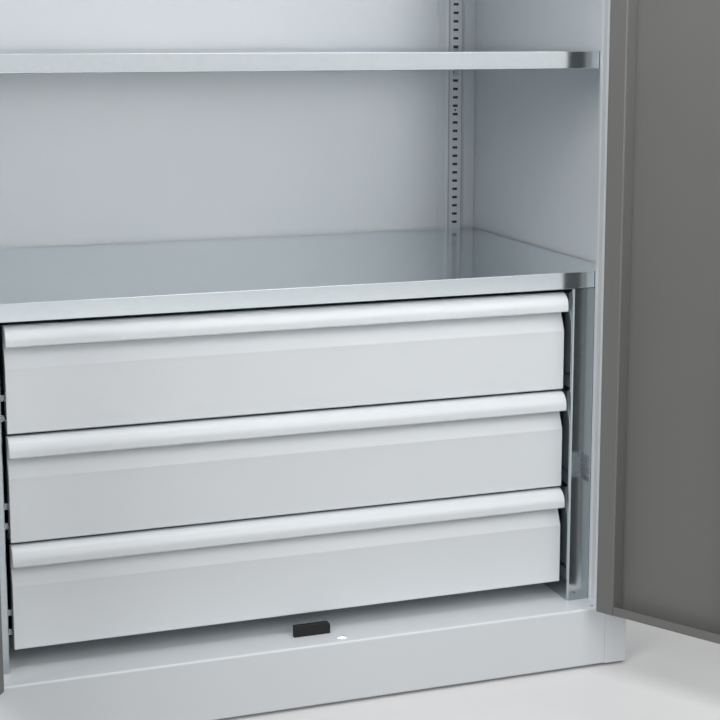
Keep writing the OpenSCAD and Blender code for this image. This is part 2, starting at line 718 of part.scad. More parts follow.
// Strip on the left door that the right door shuts over, drawn where it lies with the doors shut
module meeting_strip() color(door_grey) on_side("left") door_swing() {
    foot_x = door_edge_x + strip_foot_w;
    step_x = door_edge_x + corner_relief;
    crown_y = door_back_y + strip_d - door_t;
    low = door_bottom_z + door_end_gap;
    high = fascia_z - stop_flange_w - door_end_gap;
    upright(low, high - low)
        folded([[foot_x, door_back_y], [step_x, door_back_y], [step_x, crown_y], [-strip_reach, crown_y],
                [-strip_reach, door_back_y + corner_gap]], -door_t);
}

module stop_block() color(black) along_y(door_back_y + strip_d + slide_clear, block_d)
    translate([block_x - block_w / 2, ledge_z]) {
        square([block_w - block_r, block_h]);
        square([block_w, block_h - block_r]);
        translate([block_w - block_r, block_h - block_r]) circle(block_r);
    }

// Cover over the lock, open towards the door's face
module lock_case() color(zinc) door_swing() difference() {
    inside = front_y + door_t;
    half = case_h / 2;
    outer = case_x + case_t;
    box([lock_x - outer, inside, handle_z - half], [lock_x + outer, case_back_y, handle_z + half]);
    box([lock_x - case_x, inside - past, handle_z - half + case_t],
        [lock_x + case_x, case_back_y - case_t, handle_z + half - case_t]);
    bar_y(lock_x, handle_z, bearing_d + 2 * pin_clear, case_back_y - case_t - past, case_back_y + past);
    rod_hole(lower_rod_x, handle_z - half);
    rod_hole(upper_rod_x, handle_z + half);
}
module rod_hole(x, z)
    box([x - rod_w / 2 - rod_clear, rod_mid_y - rod_t / 2 - rod_clear, z - case_t - past],
        [x + rod_w / 2 + rod_clear, rod_mid_y + rod_t / 2 + rod_clear, z + case_t + past]);

// Bridge over each rod, standing on the door's face
module rod_guides() color(zinc) door_swing()
    for (g = [[lower_rod_x, handle_z - guide_z], [upper_rod_x, handle_z + guide_z]]) {
        inside = front_y + door_t;
        reach = rod_mid_y + rod_t / 2 + rod_clear - inside;
        leg = rod_w / 2 + rod_clear + case_t;
        foot = leg + guide_foot_w;
        upright(g[1] - guide_h / 2, guide_h) translate([g[0], inside])
            folded([[-foot, 0], [-leg, 0], [-leg, reach], [leg, reach], [leg, 0], [foot, 0]], case_t);
    }

// Disc with two opposite pins that drive the rods, and a journal in the case
module lock_cam() color(steel) door_swing() {
    disc_d = 2 * cam_r + cam_pin_d + 4 * past;
    bar_y(lock_x, handle_z, disc_d, cam_back_y - cam_t, cam_back_y);
    bar_y(lock_x, handle_z, bearing_d, cam_back_y - past, case_back_y);
    for (s = [-1, 1])
        bar_y(lock_x + s * cam_r * cos(45), handle_z + s * cam_r * sin(45), cam_pin_d,
              cam_back_y - past, rod_mid_y + rod_t / 2 + past);
}

// Flat rod with a cross slot for its cam pin, drawn upright from the slot's middle at rest
module lock_rod(x, tip_z, up) {
    slot_mid = handle_z - up * cam_r * sin(45);
    taper_z = tip_z - up * rod_tip_l;
    difference() {
        union() {
            box([x - yoke_w / 2, rod_mid_y - rod_t / 2, slot_mid - yoke_h / 2],
                [x + yoke_w / 2, rod_mid_y + rod_t / 2, slot_mid + yoke_h / 2]);
            along_y(rod_mid_y - rod_t / 2, rod_t)
                polygon([[x - rod_w / 2, slot_mid], [x + rod_w / 2, slot_mid], [x + rod_w / 2, taper_z],
                         [x + rod_tip_w / 2, tip_z], [x - rod_tip_w / 2, tip_z], [x - rod_w / 2, taper_z]]);
        }
        box([x - yoke_slot_l / 2, rod_mid_y - rod_t, slot_mid - cam_pin_d / 2 - cam_pin_clear],
            [x + yoke_slot_l / 2, rod_mid_y + rod_t, slot_mid + cam_pin_d / 2 + cam_pin_clear]);
    }
}
module upper_rod() color(zinc) door_swing() lock_rod(upper_rod_x, door_top_z - corner_gap, 1);
module lower_rod() color(zinc) door_swing() lock_rod(lower_rod_x, door_bottom_z + corner_gap, -1);

module handle_rosette() color(black) door_swing() difference() {
    rim = rosette_d / 2;
    chamfer = rosette_t / 3;
    translate([lock_x, front_y, handle_z]) rotate([90, 0, 0]) rotate_extrude()
        polygon([[0, 0], [rim, 0], [rim, rosette_t - chamfer], [rim - chamfer, rosette_t], [0, rosette_t]]);
    bar_y(lock_x, handle_z, spindle_d + 2 * pin_clear, front_y - rosette_t - past, front_y + past);
}

// Lever with a round hub on its spindle, lying level towards the hinges when the rods are drawn in
module door_handle() color(black) door_swing() {
    face_y = front_y - handle_d;
    hub_y = front_y - rosette_t - slide_clear;
    bar_y(lock_x, handle_z, spindle_d, hub_y - past, cam_back_y - cam_t);
    bar_y(lock_x, handle_z, hub_d, face_y, hub_y);
    along_y(face_y, lever_t) translate([lock_x, handle_z]) {
        translate([0, -lever_w / 2]) square([lever_l - lever_w / 2, lever_w]);
        translate([lever_l - lever_w / 2, 0]) circle(d = lever_w);
    }
}

for (s = sides) {
    side_panel(s);
    rear_slot_rail(s);
    front_slot_rail(s);
    drawer_frame(s);
    door(s);
    door_stiffener(s);
    hinge_body_leaves(s);
    hinge_door_leaves(s);
    hinge_pins(s);
}
for (i = shelf_numbers) {
    shelf(i);
    shelf_clips(i);
}
for (i = drawer_numbers) {
    fixed_rails(i);
    middle_rails(i);
    drawer_rails(i);
    drawer_tray(i);
    drawer_front(i);
}
back_panel();
roof();
base();
foot_plates();
feet();
cover_shelf();
meeting_strip();
stop_block();
lock_case();
rod_guides();
lock_cam();
upper_rod();
lower_rod();
handle_rosette();
door_handle();
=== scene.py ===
import json
import math

import bmesh
import bpy
from mathutils import Matrix, Vector


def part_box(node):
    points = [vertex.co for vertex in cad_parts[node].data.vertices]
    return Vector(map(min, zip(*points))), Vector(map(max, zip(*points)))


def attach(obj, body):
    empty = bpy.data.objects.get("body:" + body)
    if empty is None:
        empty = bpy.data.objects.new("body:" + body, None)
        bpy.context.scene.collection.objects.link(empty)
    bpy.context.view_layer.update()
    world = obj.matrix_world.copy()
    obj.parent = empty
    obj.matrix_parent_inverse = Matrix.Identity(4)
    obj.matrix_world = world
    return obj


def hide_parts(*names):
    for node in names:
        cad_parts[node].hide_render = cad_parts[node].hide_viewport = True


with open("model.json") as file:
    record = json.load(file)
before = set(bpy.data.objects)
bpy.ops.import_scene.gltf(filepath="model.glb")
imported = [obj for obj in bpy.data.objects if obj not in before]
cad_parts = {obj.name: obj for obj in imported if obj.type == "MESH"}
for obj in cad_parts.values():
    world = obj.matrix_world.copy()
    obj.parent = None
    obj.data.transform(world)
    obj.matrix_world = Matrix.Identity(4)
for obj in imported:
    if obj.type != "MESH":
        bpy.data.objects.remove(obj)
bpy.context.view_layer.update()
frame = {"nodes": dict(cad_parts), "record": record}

scene = bpy.context.scene
mm = 0.001
print("frame loaded:", len(frame["nodes"]), "nodes")


# camera and lights, with the floor's values

viewSetup = {  # metres, degrees and mm of lens
    "place": (-0.6448, -2.3297, 0.9553),
    "yaw": 19.36,
    "pitch": -8.59,
    "sensor": 36.0,
    "lens": 78.62,
    "shiftUp": -0.125,
    "farClip": 60.0,
}
lightSetup = {
    "worldColour": (1.0, 1.0, 1.0),
    "worldStrength": 0.72,
    "worldBands": [(-1.0, 0.18), (-0.35, 0.18), (-0.1, 1.0), (0.12, 1.0), (0.35, 0.74), (1.0, 0.74)],
    "usual": {"aim": (0.0, -0.2, 0.7), "spread": 180.0, "mirrored": True},
    "softboxes": {  # metres, watts and degrees
        "frontSoftbox": {"place": (0.45, -4.70, 1.42), "size": (3.0, 1.3), "power": 6.9, "spread": 22.0,
                         "aim": (0.2, 0.0, 1.36), "mirrored": False},
        "leftSoftbox": {"place": (-2.99, -2.30, 2.33), "size": (2.0, 2.0), "power": 72.0},
        "rightSoftbox": {"place": (1.37, -3.59, 2.33), "size": (2.0, 2.0), "power": 43.0},
        "topSoftbox": {"place": (0.0, -1.2, 4.60), "size": (3.0, 1.6), "power": 59.0},
        "underLamp": {"place": (0.116, -0.077, 0.085), "size": (0.1, 0.1), "power": 0.17,
                      "aim": (0.116, -0.077, 0.0)},
    },
}
floorSetup = {"half": 8.0, "bounces": False, "colour": (0.75, 0.75, 0.75), "shade": (0.71, 0.71, 0.715)}


def makeCamera(setup):
    data = bpy.data.cameras.new("photoCamera")
    data.sensor_width = setup["sensor"]
    data.lens = setup["lens"]
    data.shift_y = setup["shiftUp"]
    data.clip_end = setup["farClip"]
    camera = bpy.data.objects.new("photoCamera", data)
    camera.location = setup["place"]
    camera.rotation_euler = (math.radians(90 + setup["pitch"]), 0, math.radians(-setup["yaw"]))
    scene.collection.objects.link(camera)
    scene.camera = camera


def makeSoftbox(name, setup):
    data = bpy.data.lights.new(name, "AREA")
    data.shape = "RECTANGLE"
    data.size, data.size_y = setup["size"]
    data.energy = setup["power"]
    data.spread = math.radians(setup["spread"])
    lamp = bpy.data.objects.new(name, data)
    lamp.location = setup["place"]
    away = Vector(setup["aim"]) - Vector(setup["place"])
    lamp.rotation_euler = away.to_track_quat("-Z", "Y").to_euler()
    lamp.visible_camera = False
    lamp.visible_glossy = setup["mirrored"]
    scene.collection.objects.link(lamp)


# the studio's walls and ceiling: a band is the sine of its height and its share of the strength
def makeWorld(setup):
    world = bpy.data.worlds.new("paleStudio")
    world.use_nodes = True
    tree = world.node_tree
    sky = tree.nodes["Background"]
    place = tree.nodes.new("ShaderNodeTexCoord")
    split = tree.nodes.new("ShaderNodeSeparateXYZ")
    height = tree.nodes.new("ShaderNodeMapRange")
    height.inputs["From Min"].default_value = -1.0
    shades = tree.nodes.new("ShaderNodeValToRGB")
    bands = setup["worldBands"]
    while len(shades.color_ramp.elements) < len(bands):
        shades.color_ramp.elements.new(0.5)
    for band, (sine, share) in zip(shades.color_ramp.elements, bands):
        band.position = (sine + 1) / 2
        band.color = (*(part * share for part in setup["worldColour"]), 1)
    tree.links.new(place.outputs["Generated"], split.inputs["Vector"])
    tree.links.new(split.outputs["Z"], height.inputs["Value"])
    tree.links.new(height.outputs["Result"], shades.inputs["Fac"])
    tree.links.new(shades.outputs["Color"], sky.inputs["Color"])
    sky.inputs["Strength"].default_value = setup["worldStrength"]
    scene.world = world


makeCamera(viewSetup)
makeWorld(lightSetup)
for softboxName, softbox in lightSetup["softboxes"].items():
    makeSoftbox(softboxName, {**lightSetup["usual"], **softbox})
scene.view_settings.view_transform = "Standard"
scene.view_settings.look = "None"
print("camera and lights placed")


# materials

def addNode(tree, kind, **inputs):
    node = tree.nodes.new(kind)
    for name, value in inputs.items():
        node.inputs[name.replace("_", " ")].default_value = value
    return node


def newGroup(name, inputs, outputs):
    group = bpy.data.node_groups.new(name, "ShaderNodeTree")
    for label, kind in inputs:
        group.interface.new_socket(name=label, in_out="INPUT", socket_type=kind)
    for label, kind in outputs:
        group.interface.new_socket(name=label, in_out="OUTPUT", socket_type=kind)
    return group, group.nodes.new("NodeGroupInput"), group.nodes.new("NodeGroupOutput")


noiseRange = (0.3, 0.7)  # where most values of a noise texture lie
fullRange = (0.0, 1.0)


def mapRange(tree, source, fromRange, toRange):
    node = addNode(tree, "ShaderNodeMapRange", From_Min=fromRange[0], From_Max=fromRange[1],
                   To_Min=toRange[0], To_Max=toRange[1])
    tree.links.new(source, node.inputs["Value"])
    return node.outputs["Result"]


def mixValues(tree, first, second, share):
    node = tree.nodes.new("ShaderNodeMix")
    node.inputs["Factor"].default_value = share
    tree.links.new(first, node.inputs["A"])
    tree.links.new(second, node.inputs["B"])
    return node.outputs["Result"]


# strips at one distance on both sides of a middle line, down to a depth limit, masking the painted shade
def makeShadeStripGroup():
    group, source, sink = newGroup(
        "shadeStripMask",
        [(label, "NodeSocketFloat") for label in ("Across", "Depth", "Middle", "Offset", "Half Width", "Limit")],
        [("Mask", "NodeSocketFloat")],
    )
    away, size, inside, before, both = (group.nodes.new("ShaderNodeMath") for step in range(5))
    away.operation = "SUBTRACT"
    size.operation = "ABSOLUTE"
    inside.operation = "COMPARE"
    before.operation = "LESS_THAN"
    both.operation = "MULTIPLY"
    for label, node, socket in (("Across", away, 0), ("Middle", away, 1), ("Offset", inside, 1),
                                ("Half Width", inside, 2), ("Depth", before, 0), ("Limit", before, 1)):
        group.links.new(source.outputs[label], node.inputs[socket])
    for node, target, socket in ((away, size, 0), (size, inside, 0), (inside, both, 0), (before, both, 1)):
        group.links.new(node.outputs["Value"], target.inputs[socket])
    group.links.new(both.outputs["Value"], sink.inputs["Mask"])
    return group


effectShares = {"peelHeight": 0.45, "crystalTone": 0.22, "crystalGloss": 0.3}


# powder coat: a fine grain, a wider orange peel and a slow drift of tone
def makeCoatGroup():
    group, source, sink = newGroup(
        "coatGrain",
        [("Vector", "NodeSocketVector"), ("Grain", "NodeSocketFloat"), ("Peel", "NodeSocketFloat")],
        [("Height", "NodeSocketFloat"), ("Tone", "NodeSocketFloat"), ("Gloss", "NodeSocketFloat")],
    )
    grain = addNode(group, "ShaderNodeTexNoise", Detail=2.0, Roughness=0.6)
    peel = addNode(group, "ShaderNodeTexNoise", Detail=1.0, Roughness=0.4)
    drift = addNode(group, "ShaderNodeTexNoise", Scale=2.2, Detail=3.0, Roughness=0.55)
    for node in (grain, peel, drift):
        group.links.new(source.outputs["Vector"], node.inputs["Vector"])
    group.links.new(source.outputs["Grain"], grain.inputs["Scale"])
    group.links.new(source.outputs["Peel"], peel.inputs["Scale"])
    height = mixValues(group, grain.outputs["Fac"], peel.outputs["Fac"], effectShares["peelHeight"])
    group.links.new(height, sink.inputs["Height"])
    group.links.new(mapRange(group, drift.outputs["Fac"], noiseRange, fullRange), sink.inputs["Tone"])
    group.links.new(mapRange(group, peel.outputs["Fac"], noiseRange, fullRange), sink.inputs["Gloss"])
    return group


# zinc sheet: rolling lines along the strip, faint crystals and a slow drift
def makeZincGroup():
    group, source, sink = newGroup(
        "zincSheet",
        [("Vector", "NodeSocketVector"), ("Lines", "NodeSocketFloat"), ("Crystals", "NodeSocketFloat")],
        [("Height", "NodeSocketFloat"), ("Tone", "NodeSocketFloat"), ("Gloss", "NodeSocketFloat")],
    )
    stretch = addNode(group, "ShaderNodeMapping", Scale=(0.02, 1.0, 1.0))
    lines = addNode(group, "ShaderNodeTexNoise", Detail=4.0, Roughness=0.65)
    crystals = addNode(group, "ShaderNodeTexVoronoi")
    drift = addNode(group, "ShaderNodeTexNoise", Scale=5.0, Detail=3.0, Roughness=0.5)
    group.links.new(source.outputs["Vector"], stretch.inputs["Vector"])
    group.links.new(stretch.outputs["Vector"], lines.inputs["Vector"])
    group.links.new(source.outputs["Vector"], crystals.inputs["Vector"])
    group.links.new(source.outputs["Vector"], drift.inputs["Vector"])
    group.links.new(source.outputs["Lines"], lines.inputs["Scale"])
    group.links.new(source.outputs["Crystals"], crystals.inputs["Scale"])
    cells = group.nodes.new("ShaderNodeSeparateColor")
    group.links.new(crystals.outputs["Color"], cells.inputs["Color"])
    toned = mixValues(group, drift.outputs["Fac"], cells.outputs["Red"], effectShares["crystalTone"])
    lined = mapRange(group, lines.outputs["Fac"], noiseRange, fullRange)
    gloss = mixValues(group, lined, cells.outputs["Green"], effectShares["crystalGloss"])
    group.links.new(lines.outputs["Fac"], sink.inputs["Height"])
    group.links.new(mapRange(group, toned, noiseRange, fullRange), sink.inputs["Tone"])
    group.links.new(gloss, sink.inputs["Gloss"])
    return group


def makeFinish(name, group, scales, look):
    material = bpy.data.materials.new(name)
    material.use_nodes = True
    tree = material.node_tree
    shader = tree.nodes["Principled BSDF"]
    place = tree.nodes.new("ShaderNodeTexCoord")
    turn = addNode(tree, "ShaderNodeMapping", Rotation=look.get("turn", (0.0, 0.0, 0.0)))
    effect = tree.nodes.new("ShaderNodeGroup")
    effect.node_tree = group
    for label, value in scales.items():
        effect.inputs[label].default_value = value
    tree.links.new(place.outputs["Object"], turn.inputs["Vector"])
    tree.links.new(turn.outputs["Vector"], effect.inputs["Vector"])
    colour = tree.nodes.new("ShaderNodeMix")
    colour.data_type = "RGBA"
    colour.inputs["A"].default_value = (*look["dark"], 1)
    colour.inputs["B"].default_value = (*look["light"], 1)
    tree.links.new(effect.outputs["Tone"], colour.inputs["Factor"])
    tree.links.new(colour.outputs["Result"], shader.inputs["Base Color"])
    rough = mapRange(tree, effect.outputs["Gloss"], fullRange, look["rough"])
    tree.links.new(rough, shader.inputs["Roughness"])
    bump = addNode(tree, "ShaderNodeBump", Strength=look["bump"], Distance=look["depth"])
    tree.links.new(effect.outputs["Height"], bump.inputs["Height"])
    tree.links.new(bump.outputs["Normal"], shader.inputs["Normal"])
    shader.inputs["Metallic"].default_value = look.get("metal", 0.0)
    shader.inputs["Specular IOR Level"].default_value = look.get("specular", 0.5)
    return material


# the painted-shade strips lie over the finish's own colour
def addShadeStrips(material, group, strip):
    tree = material.node_tree
    shader = tree.nodes["Principled BSDF"]
    split = tree.nodes.new("ShaderNodeSeparateXYZ")
    size = tree.nodes.new("ShaderNodeMath")
    size.operation = "ABSOLUTE"
    mask = tree.nodes.new("ShaderNodeGroup")
    mask.node_tree = group
    place = next(node for node in tree.nodes if node.bl_idname == "ShaderNodeTexCoord")
    tree.links.new(place.outputs["Object"], split.inputs["Vector"])
    tree.links.new(split.outputs["X"], size.inputs[0])
    values = {"x": size.outputs["Value"], "y": split.outputs["Y"]}
    tree.links.new(values[strip["across"]], mask.inputs["Across"])
    tree.links.new(values[strip["depth"]], mask.inputs["Depth"])
    for label in ("Middle", "Offset", "Half Width", "Limit"):
        mask.inputs[label].default_value = strip[label]
    colour = tree.nodes.new("ShaderNodeMix")
    colour.data_type = "RGBA"
    colour.inputs["B"].default_value = (*strip["colour"], 1)
    tree.links.new(mask.outputs["Mask"], colour.inputs["Factor"])
    tree.links.new(shader.inputs["Base Color"].links[0].from_socket, colour.inputs["A"])
    tree.links.new(colour.outputs["Result"], shader.inputs["Base Color"])


# a finish drifts between its dark and light colour and between two roughnesses; depth is in metres
finishes = {
    "bodyPaint": {"dark": (0.695, 0.726, 0.75), "light": (0.72, 0.752, 0.777), "rough": (0.31, 0.38),
                  "bump": 0.10, "depth": 0.0002},
    "doorPaint": {"dark": (0.142, 0.142, 0.137), "light": (0.153, 0.153, 0.148), "rough": (0.38, 0.47),
                  "bump": 0.16, "depth": 0.0002},
    "galvanised": {"dark": (0.75, 0.82, 0.85), "light": (0.79, 0.86, 0.89), "rough": (0.11, 0.17), "metal": 1.0,
                   "bump": 0.03, "depth": 0.0001},
    "trayZinc": {"dark": (0.63, 0.69, 0.715), "light": (0.69, 0.75, 0.775), "rough": (0.30, 0.42), "metal": 1.0,
                 "bump": 0.04, "depth": 0.0001},
    "uprightZinc": {"dark": (0.44, 0.49, 0.512), "light": (0.48, 0.53, 0.552), "rough": (0.11, 0.16), "metal": 1.0,
                    "bump": 0.03, "depth": 0.0001, "turn": (0.0, math.pi / 2, 0.0)},
    "brightSteel": {"dark": (0.56, 0.57, 0.58), "light": (0.64, 0.65, 0.66), "rough": (0.22, 0.32), "metal": 1.0,
                    "bump": 0.04, "depth": 0.0001, "turn": (0.0, 0.0, math.pi / 2)},
    "blackPlastic": {"dark": (0.011, 0.0114, 0.0113), "light": (0.018, 0.0184, 0.0183), "rough": (0.45, 0.58),
                     "bump": 0.25, "depth": 0.0002, "specular": 0.25},
    "paleFloor": {"dark": floorSetup["shade"], "light": floorSetup["colour"], "rough": (0.55, 0.65),
                  "bump": 0.02, "depth": 0.0005},
}
# under a slot rail the panel is painted near-black as painted shade for the rail's hollow; along a rail's two folds a
# darker grey is painted as shade in the creases
paintedShadeStrips = {
    "backPaintedShade": {"across": "x", "depth": "y", "Middle": 0.4588, "Offset": 0.0, "Half Width": 0.0135, "Limit": 0.2982,
                  "colour": (0.03, 0.032, 0.034)},
    "sidePaintedShade": {"across": "y", "depth": "x", "Middle": -0.215, "Offset": 0.0, "Half Width": 0.0135, "Limit": 0.4994,
                  "colour": (0.03, 0.032, 0.034)},
    # painted shade: a thin darker grey line along each of a rail's folds
    "rearRailCreaseShade": {"across": "x", "depth": "y", "Middle": 0.4588, "Offset": 0.0126, "Half Width": 0.0012,
                      "Limit": 1.0, "colour": (0.42, 0.44, 0.455)},
    "frontRailCreaseShade": {"across": "y", "depth": "x", "Middle": -0.215, "Offset": 0.0126, "Half Width": 0.0012,
                       "Limit": 1.0, "colour": (0.42, 0.44, 0.455)},
}
coatScales = {"Grain": 1400.0, "Peel": 420.0}
doorScales = {"Grain": 1100.0, "Peel": 330.0}
plasticScales = {"Grain": 2200.0, "Peel": 700.0}
floorScales = {"Grain": 160.0, "Peel": 30.0}
zincScales = {"Lines": 900.0, "Crystals": 160.0}
coatGroup = makeCoatGroup()
zincGroup = makeZincGroup()
bodyPaint = makeFinish("bodyPaint", coatGroup, coatScales, finishes["bodyPaint"])
shadeStripGroup = makeShadeStripGroup()
# copies of the body paint with painted shade laid over them in strips
paintedShadeFinishes = {}
for shadeFinishName, paintedShadeStrip in paintedShadeStrips.items():
    paintedShadeFinishes[shadeFinishName] = makeFinish(shadeFinishName, coatGroup, coatScales, finishes["bodyPaint"])
    addShadeStrips(paintedShadeFinishes[shadeFinishName], shadeStripGroup, paintedShadeStrip)
doorPaint = makeFinish("doorPaint", coatGroup, doorScales, finishes["doorPaint"])
blackPlastic = makeFinish("blackPlastic", coatGroup, plasticScales, finishes["blackPlastic"])
paleFloor = makeFinish("paleFloor", coatGroup, floorScales, finishes["paleFloor"])
galvanised = makeFinish("galvanised", zincGroup, zincScales, finishes["galvanised"])
trayZinc = makeFinish("trayZinc", zincGroup, zincScales, finishes["trayZinc"])
uprightZinc = makeFinish("uprightZinc", zincGroup, zincScales, finishes["uprightZinc"])
brightSteel = makeFinish("brightSteel", zincGroup, zincScales, finishes["brightSteel"])

slotFinish = {
    "body_paint": bodyPaint,
    "door_paint": doorPaint,
    "galvanised": galvanised,
    "bright_steel": brightSteel,
    "black_plastic": blackPlastic,
}
nodeFinish = {"back_panel": paintedShadeFinishes["backPaintedShade"]}
for sideName in ("left", "right"):
    nodeFinish[f"{sideName}_side_panel"] = paintedShadeFinishes["sidePaintedShade"]
    nodeFinish[f"{sideName}_rear_slot_rail"] = paintedShadeFinishes["rearRailCreaseShade"]
    nodeFinish[f"{sideName}_front_slot_rail"] = paintedShadeFinishes["frontRailCreaseShade"]
for lockNode in ("upper_rod", "lower_rod", "lock_case", "rod_guides"):
    nodeFinish[lockNode] = uprightZinc
for trayNumber in (1, 2, 3):
    nodeFinish[f"drawer_tray_{trayNumber}"] = trayZinc
for part in frame["record"]["subparts"]:
    finish = nodeFinish.get(part["node"], slotFinish[part["material_slot"]])
    for materialSlot in frame["nodes"][part["node"]].material_slots:
        materialSlot.material = finish
print("finishes made:", len(bpy.data.materials))


# sheet-metal tools

sheetTools = {
    "touching": 1e-6,  # metres
    "leastSteps": 4,
    "stepsPerMm": 1.2,  # of a bend's radius
    "smoothAngle": 35.0,
}


# each corner takes the normals round it by their faces' size, so flat sheet stays flat up to a bend
def cornerNormals(mesh, smoothAngle):
    limit = math.cos(math.radians(smoothAngle))
    normals = []
    for face in mesh.faces:
        for vert in face.verts:
            near = [other for other in vert.link_faces if other.normal.dot(face.normal) > limit]
            total = sum((other.normal * other.calc_area() for other in near), Vector())
            normals.append((total if total.length > 0 else face.normal).normalized())
    return normals


def newPiece(name, mesh, finish, body, smoothAngle=sheetTools["smoothAngle"]):
    data = bpy.data.meshes.new(name)
    mesh.normal_update()
    normals = cornerNormals(mesh, smoothAngle)
    mesh.to_mesh(data)
    mesh.free()
    for face in data.polygons:
        face.use_smooth = True
    data.set_sharp_from_angle(angle=math.radians(smoothAngle))
    data.normals_split_custom_set(normals)
    data.materials.append(finish)
    piece = bpy.data.objects.new(name, data)
    scene.collection.objects.link(piece)
    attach(piece, body)
    return piece


def faceOutwards(mesh):
    bmesh.ops.recalc_face_normals(mesh, faces=mesh.faces[:])


def roundOff(mesh, geom, radius, steps, affect="EDGES"):
    bmesh.ops.bevel(mesh, geom=geom, offset=radius, offset_type="OFFSET", segments=steps, profile=0.5,
                    affect=affect, material=-1)


# moves what an extrusion has just drawn
def pull(mesh, drawn, along):
    ends = [item for item in drawn if isinstance(item, bmesh.types.BMVert)]
    bmesh.ops.translate(mesh, verts=ends, vec=along)


# a strip of corners is drawn out along one axis, its corners are bent round, and the sheet gets its thickness
def foldSheet(mesh, corners, radii, thickness, place, along):
    points = [mesh.verts.new(place(a, b)) for a, b in corners]
    edges = [mesh.edges.new(pair) for pair in zip(points, points[1:])]
    pull(mesh, bmesh.ops.extrude_edge_only(mesh, edges=edges)["geom"], along)
    step = Vector(along)
    touching = sheetTools["touching"]
    for index, radius in enumerate(radii, start=1):
        corner = Vector(place(*corners[index]))
        fold = [edge for edge in mesh.edges
                if all((vert.co - corner).cross(step).length < touching * step.length for vert in edge.verts)
                and abs(edge.calc_length() - step.length) < touching]
        before = Vector(corners[index]) - Vector(corners[index - 1])
        after = Vector(corners[index + 1]) - Vector(corners[index])
        turn = before.angle(after)
        steps = max(sheetTools["leastSteps"], round(radius / mm * sheetTools["stepsPerMm"]))
        roundOff(mesh, fold, radius * math.tan(turn / 2), steps)
    bmesh.ops.solidify(mesh, geom=mesh.faces[:], thickness=thickness)


def addBox(mesh, low, high):
    middle = (Vector(low) + Vector(high)) / 2
    size = Vector(high) - Vector(low)
    bmesh.ops.create_cube(mesh, size=1.0, matrix=Matrix.Translation(middle) @ Matrix.Diagonal((*size, 1)))


# an outline is drawn out along one axis
def addPlate(mesh, outline, place, along):
    face = mesh.faces.new([mesh.verts.new(place(a, b)) for a, b in outline])
    pull(mesh, bmesh.ops.extrude_face_region(mesh, geom=[face])["geom"], along)


# drawer fronts

drawerFront = {
    "sheet": 1.2 * mm,
    "topGap": 1.8 * mm,
    "hem": 6 * mm,
    "lipHeight": 29 * mm,
    "lipRound": 19.2 * mm,
    "hemRound": 2.2 * mm,
    "backRound": 4.2 * mm,
    "recessBack": 26.2 * mm,
    "flatBack": 14.2 * mm,
    "flatDrop": 60 * mm,
    "slopeHeight": 27 * mm,
    "slopeRound": 2 * mm,
    "footRound": 1 * mm,
    "footFold": 14 * mm,
    "endPlate": 26 * mm,
    "endGapLow": 17 * mm,
    "endGapHeight": 6 * mm,
    "endDrop": 6.3 * mm,
    "endRound": 1 * mm,
    "endSteps": 3,
    "forwards": -0.2,  # a face looks forwards when its normal's y is below this
}


def makeDrawerFront(number):
    low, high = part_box(f"drawer_front_{number}")
    setup = drawerFront
    sheet = setup["sheet"]
    lip = low.y
    flat = lip + setup["flatBack"]
    recess = lip + setup["recessBack"]
    top = high.z - setup["topGap"]
    slopeFoot = high.z - setup["flatDrop"]
    corners = [
        (lip + setup["hem"], high.z - setup["lipHeight"]),
        (lip, high.z - setup["lipHeight"]),
        (lip, top),
        (recess, top),
        (recess, slopeFoot + setup["slopeHeight"]),
        (flat, slopeFoot),
        (flat, low.z + sheet),
        (flat - sheet + setup["footFold"], low.z + sheet),
    ]
    radii = [setup["hemRound"], setup["lipRound"], setup["backRound"], setup["backRound"],
             setup["slopeRound"], setup["footRound"]]
    mesh = bmesh.new()
    foldSheet(mesh, corners, radii, sheet, lambda y, z: (low.x, y, z), (high.x - low.x, 0, 0))
    faceOutwards(mesh)
    ends = (low.x, high.x)
    rims = [edge for edge in mesh.edges
            if any(all(abs(vert.co.x - end) < sheetTools["touching"] for vert in edge.verts) for end in ends)
            and any(face.normal.y < setup["forwards"] for face in edge.link_faces)]
    roundOff(mesh, rims, setup["endRound"], setup["endSteps"])
    foot, gapLow = low.z + sheet / 2, low.z + setup["endGapLow"]
    back = flat - sheet + setup["endPlate"]
    outline = [
        (flat - sheet / 2, foot),
        (back, foot),
        (back, gapLow),
        (flat + sheet, gapLow),
        (flat + sheet, gapLow + setup["endGapHeight"]),
        (back, gapLow + setup["endGapHeight"]),
        (back, high.z - setup["endDrop"]),
        (recess - sheet / 2, high.z - setup["endDrop"]),
        (recess - sheet / 2, slopeFoot + setup["slopeHeight"]),
        (flat - sheet / 2, slopeFoot),
    ]
    inset = setup["endRound"]
    for end in (low.x + inset / 2, high.x - sheet - inset / 2):
        addPlate(mesh, outline, lambda y, z: (end, y, z), (sheet, 0, 0))
    faceOutwards(mesh)
    piece = newPiece(f"drawerFront{number}", mesh, bodyPaint, f"drawer_{number}")
    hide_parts(f"drawer_front_{number}")


for drawerNumber in (1, 2, 3):
    makeDrawerFront(drawerNumber)
print("drawer fronts folded")


# galvanised uprights beside the drawers

drawerUpright = {
    "sheet": 1.2 * mm,
    "face": 50 * mm,
    "flange": 22 * mm,
    "frontRound": 2.8 * mm,
    "backRound": 2.2 * mm,
    "gap": 2 * mm,
}


